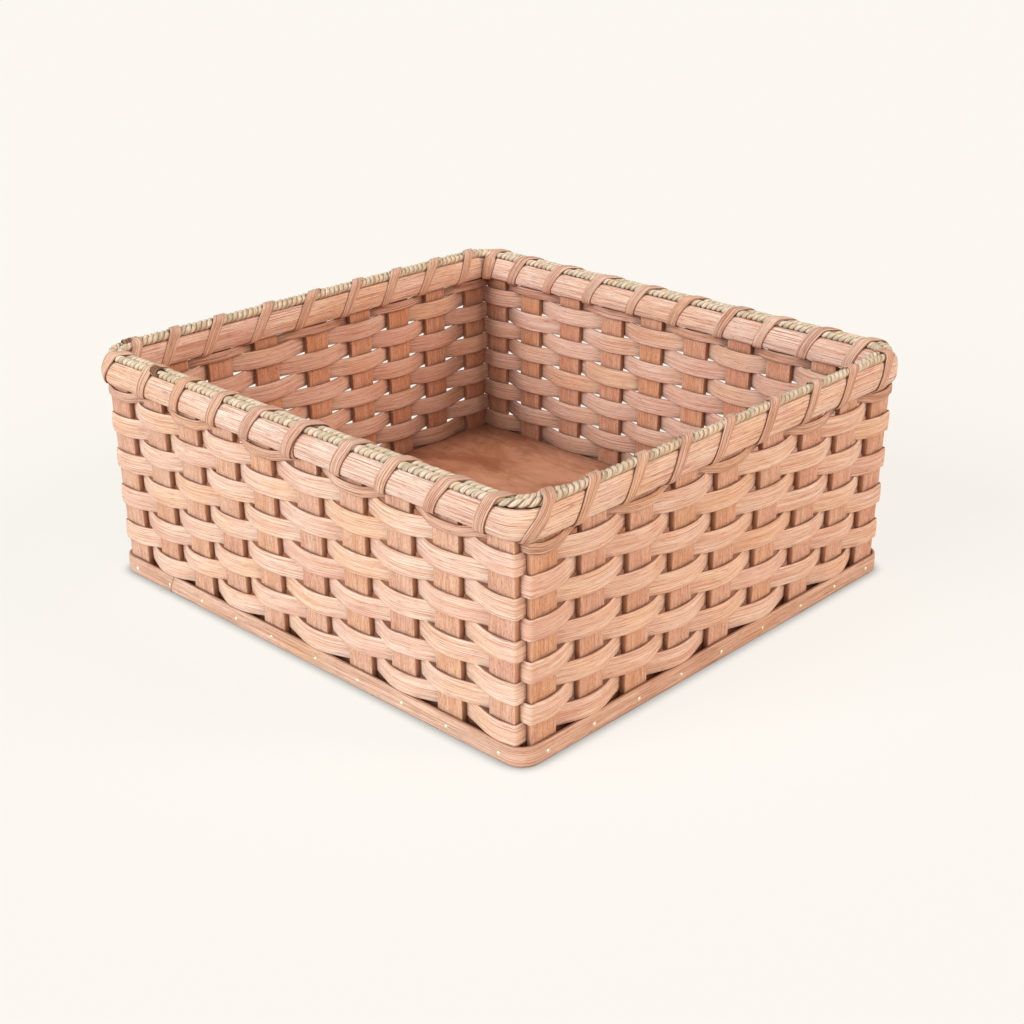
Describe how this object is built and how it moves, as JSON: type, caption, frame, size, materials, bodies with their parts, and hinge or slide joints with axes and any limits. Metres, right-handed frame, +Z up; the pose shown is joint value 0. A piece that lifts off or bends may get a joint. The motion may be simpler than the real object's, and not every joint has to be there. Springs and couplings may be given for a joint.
{
  "type": "woven storage basket",
  "caption": "Open rectangular woven reed storage basket with a flat board base, leaning stake-and-weaver walls and a spirally lashed rim.",
  "frame": {"origin": "on the table under the middle of the board, at the bottom centre of the bounding box", "axes": "+Z up out of the open mouth, +X along the longer side, the side with ten stakes faces -Y and +Y"},
  "size_m": [0.3772, 0.3562, 0.1544],
  "materials": {
    "board_wood": "smooth, slightly mottled, satin",
    "stake_reed": "matt, fine upright grain",
    "weaver_reed": "matt, long reddish grain lines",
    "binding_reed": "matt, long grain lines",
    "rim_reed": "matt half-oval reed, long reddish grain lines",
    "base_band_reed": "matt, long grain lines",
    "seagrass": "twisted grey-green plant fibre, dull",
    "brad_brass": "small pale round nail heads, dull polish"
  },
  "bodies": {
    "root": {"base_band": "base_band_reed", "base_board": "board_wood", "narrow_weaver_row": "binding_reed", "rim_band_inner": "rim_reed", "rim_band_outer": "rim_reed", "rim_lashing": "binding_reed", "seagrass_inner": "seagrass", "seagrass_outer": "seagrass", "stake_back_01": "stake_reed", "stake_back_02": "stake_reed", "stake_back_03": "stake_reed", "stake_back_04": "stake_reed", "stake_back_05": "stake_reed", "stake_back_06": "stake_reed", "stake_back_07": "stake_reed", "stake_back_08": "stake_reed", "stake_back_09": "stake_reed", "stake_back_10": "stake_reed", "stake_front_01": "stake_reed", "stake_front_02": "stake_reed", "stake_front_03": "stake_reed", "stake_front_04": "stake_reed", "stake_front_05": "stake_reed", "stake_front_06": "stake_reed", "stake_front_07": "stake_reed", "stake_front_08": "stake_reed", "stake_front_09": "stake_reed", "stake_front_10": "stake_reed", "stake_left_01": "stake_reed", "stake_left_02": "stake_reed", "stake_left_03": "stake_reed", "stake_left_04": "stake_reed", "stake_left_05": "stake_reed", "stake_left_06": "stake_reed", "stake_left_07": "stake_reed", "stake_left_08": "stake_reed", "stake_left_09": "stake_reed", "stake_right_01": "stake_reed", "stake_right_02": "stake_reed", "stake_right_03": "stake_reed", "stake_right_04": "stake_reed", "stake_right_05": "stake_reed", "stake_right_06": "stake_reed", "stake_right_07": "stake_reed", "stake_right_08": "stake_reed", "stake_right_09": "stake_reed", "weaver_row_1": "weaver_reed", "weaver_row_2": "weaver_reed", "weaver_row_3": "weaver_reed", "weaver_row_4": "weaver_reed", "weaver_row_5": "weaver_reed", "weaver_row_6": "weaver_reed", "weaver_row_7": "weaver_reed", "weaver_row_8": "weaver_reed", "weaver_row_9": "weaver_reed"}
  },
  "joints": []
}
